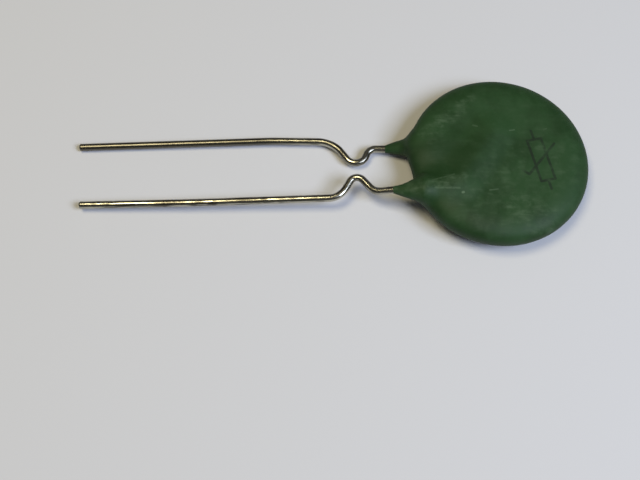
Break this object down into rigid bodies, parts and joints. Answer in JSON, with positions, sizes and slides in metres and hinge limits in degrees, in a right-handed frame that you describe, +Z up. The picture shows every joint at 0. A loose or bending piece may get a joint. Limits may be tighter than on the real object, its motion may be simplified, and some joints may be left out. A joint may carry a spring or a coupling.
{
  "type": "disc thermistor",
  "caption": "Leaded disc thermistor: a dark green dip-coated disc with a raised ridge over the wire, and parallel tinned wire leads that each have a kink near the disc.",
  "frame": {"origin": "middle of the part's footprint as it lies on a table, at the table's surface", "axes": "+X from the leads' tips towards the disc, +Z up from the table"},
  "size_m": [0.0624, 0.022, 0.0057],
  "materials": {
    "coating": "satin",
    "lead_wire": "tinned",
    "ceramic": "matt",
    "silver": "fired silver",
    "solder": "bright solder"
  },
  "bodies": {
    "root": {"resin_coating": "coating", "ceramic_disc": "ceramic", "front_electrode": "silver", "back_electrode": "silver", "front_solder": "solder", "back_solder": "solder", "front_lead": "lead_wire", "back_lead": "lead_wire"}
  },
  "joints": []
}
